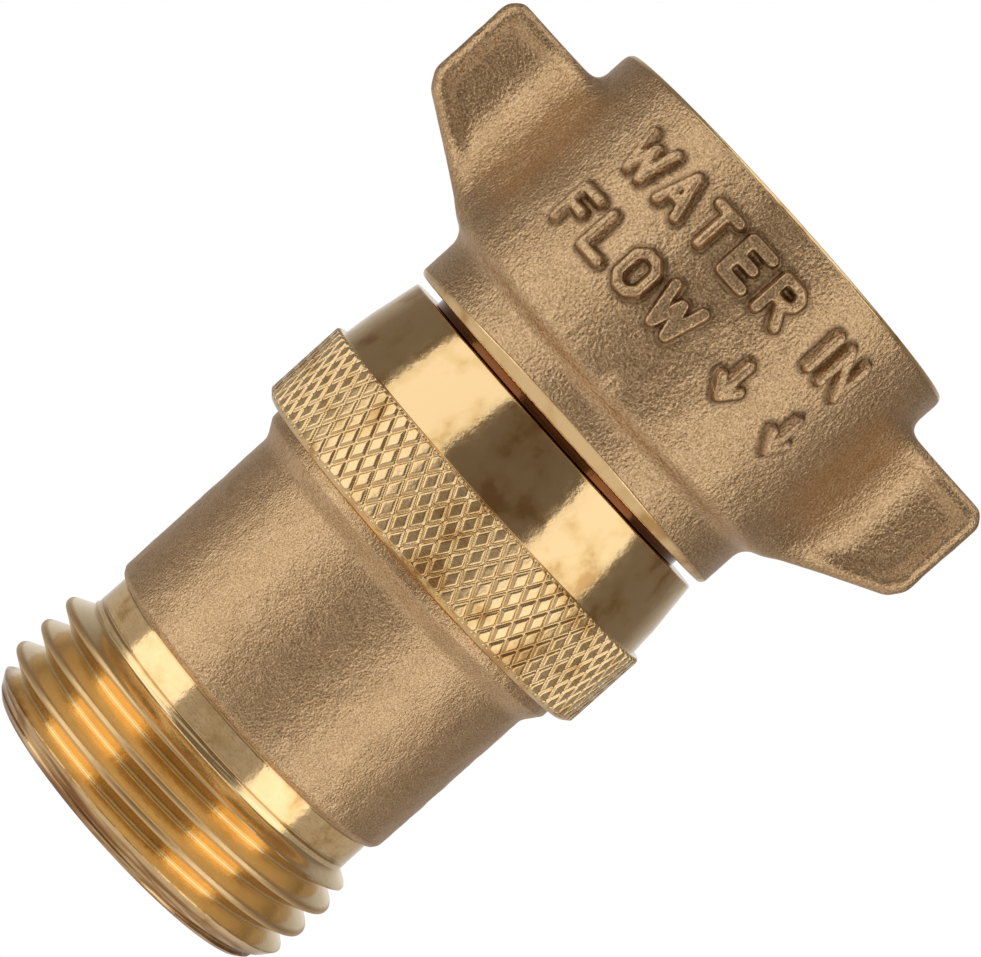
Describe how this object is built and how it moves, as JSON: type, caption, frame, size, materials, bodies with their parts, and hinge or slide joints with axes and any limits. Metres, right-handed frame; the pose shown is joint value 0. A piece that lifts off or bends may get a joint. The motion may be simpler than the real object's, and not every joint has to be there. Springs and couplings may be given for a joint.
{
  "type": "water pressure regulator",
  "caption": "Inline brass water pressure regulator: male hose thread outlet, knurled body, winged swivel nut inlet, sprung piston inside.",
  "frame": {"origin": "centre of the outlet's end face, on the flow axis", "axes": "+Z along the flow axis from the outlet to the inlet, X through the swivel nut's two wings"},
  "size_m": [0.0462, 0.0308, 0.0591],
  "materials": {
    "cast_brass": "sand-cast, with machined thread and relief",
    "nut_brass": "sand-cast, coarse grain",
    "turned_brass": "turned and polished, knurled ring",
    "rim_brass": "turned",
    "steel": "stamped stainless",
    "stem_steel": "ground stainless",
    "spring_steel": "drawn stainless wire",
    "mesh_steel": "woven stainless wire",
    "rubber": "moulded",
    "ptfe": "turned"
  },
  "bodies": {
    "body": {"outlet_body": "cast_brass", "inlet_body": "turned_brass", "nut_retaining_ring": "steel", "hose_washer": "rubber", "screen_rim": "rim_brass", "inlet_screen": "mesh_steel", "seat_carrier": "rim_brass", "carrier_snap_ring": "steel", "seat_disc": "rubber", "seat_washer": "steel", "seat_screw": "steel", "stem_o_ring": "rubber", "stem_backup_ring": "ptfe", "guide_bush": "ptfe", "spring": "spring_steel", "upper_spring_washer": "steel"},
    "nut": {"swivel_nut": "nut_brass"},
    "piston": {"piston_head": "rim_brass", "piston_stem": "stem_steel", "head_o_ring": "rubber", "head_backup_ring": "ptfe", "lower_spring_shim": "steel"}
  },
  "joints": [
    {"name": "nut_spin", "type": "hinge", "parent": "body", "child": "nut", "pos_m": [0, 0, 0.0417], "axis": [0, 0, 1], "continuous": true},
    {"name": "piston_slide", "type": "slide", "parent": "body", "child": "piston", "axis": [0, 0, 1], "range_m": [0, 0.00215], "stiffness_N_per_m": 12000, "deforming": ["spring"]}
  ]
}
